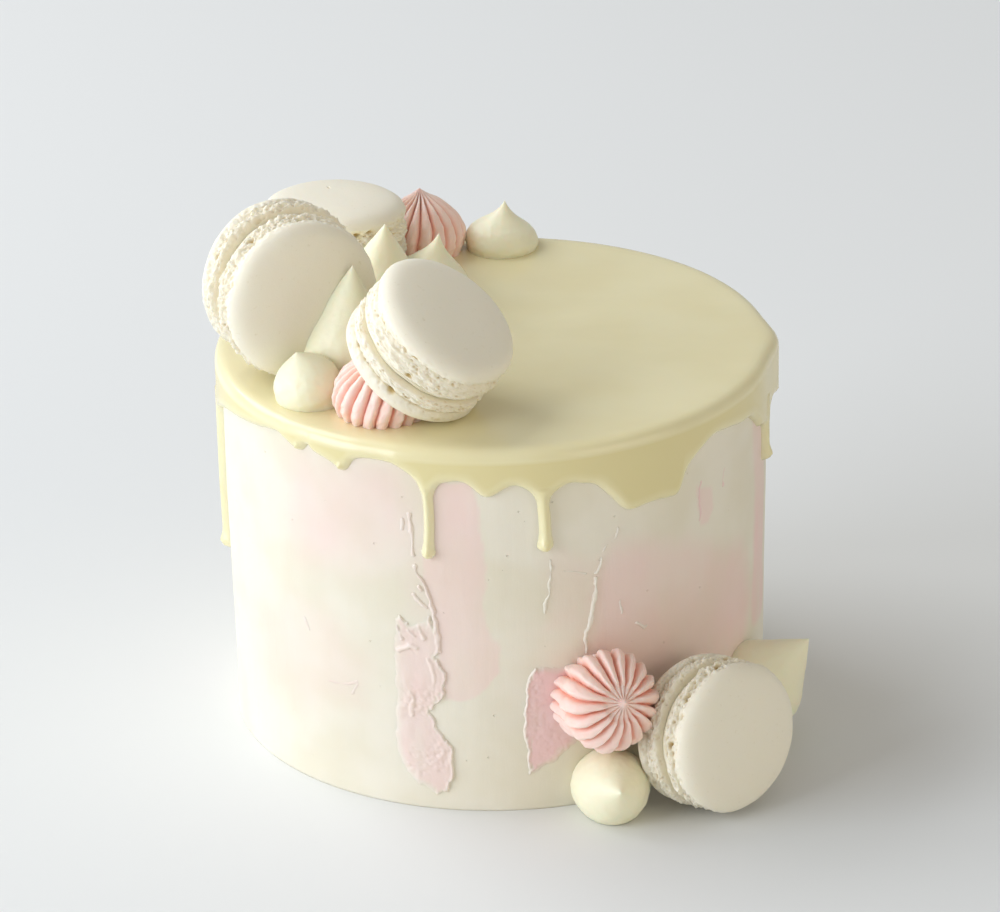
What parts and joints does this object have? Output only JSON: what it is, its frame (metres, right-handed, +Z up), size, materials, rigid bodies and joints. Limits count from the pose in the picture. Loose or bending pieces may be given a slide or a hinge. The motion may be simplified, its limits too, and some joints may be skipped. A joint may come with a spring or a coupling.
{
  "type": "decorated layer cake",
  "caption": "Tall round buttercream cake with a pale ganache drip, macaron sandwiches and piped cream kisses and rosettes on its top edge and at its foot.",
  "frame": {"origin": "centre of the cake's flat underside, on the surface it stands on", "axes": "+Z up, -Y towards the front of the cake, +X to the right as seen from the front"},
  "size_m": [0.1807, 0.1887, 0.1692],
  "materials": {
    "buttercream": "matte ivory-white buttercream",
    "ganache": "satin pale yellow white-chocolate ganache",
    "macaron_shell": "matte off-white baked shell",
    "macaron_filling": "soft pale cream filling",
    "pink_cream": "matte pale salmon pink piped cream",
    "ivory_cream": "satin pale ivory piped cream"
  },
  "bodies": {
    "root": {"cake": "buttercream", "ganache": "ganache", "kiss_back": "ivory_cream", "kiss_base": "ivory_cream", "kiss_front": "ivory_cream", "kiss_inner": "ivory_cream", "kiss_mid": "ivory_cream", "kiss_side": "ivory_cream", "kiss_tall": "ivory_cream", "macaron_back_back": "macaron_shell", "macaron_back_cap": "macaron_shell", "macaron_back_filling": "macaron_filling", "macaron_base_back": "macaron_shell", "macaron_base_cap": "macaron_shell", "macaron_base_filling": "macaron_filling", "macaron_front_back": "macaron_shell", "macaron_front_cap": "macaron_shell", "macaron_front_filling": "macaron_filling", "macaron_left_back": "macaron_shell", "macaron_left_cap": "macaron_shell", "macaron_left_filling": "macaron_filling", "rosette_back": "pink_cream", "rosette_base": "pink_cream", "rosette_front": "pink_cream"}
  },
  "joints": []
}
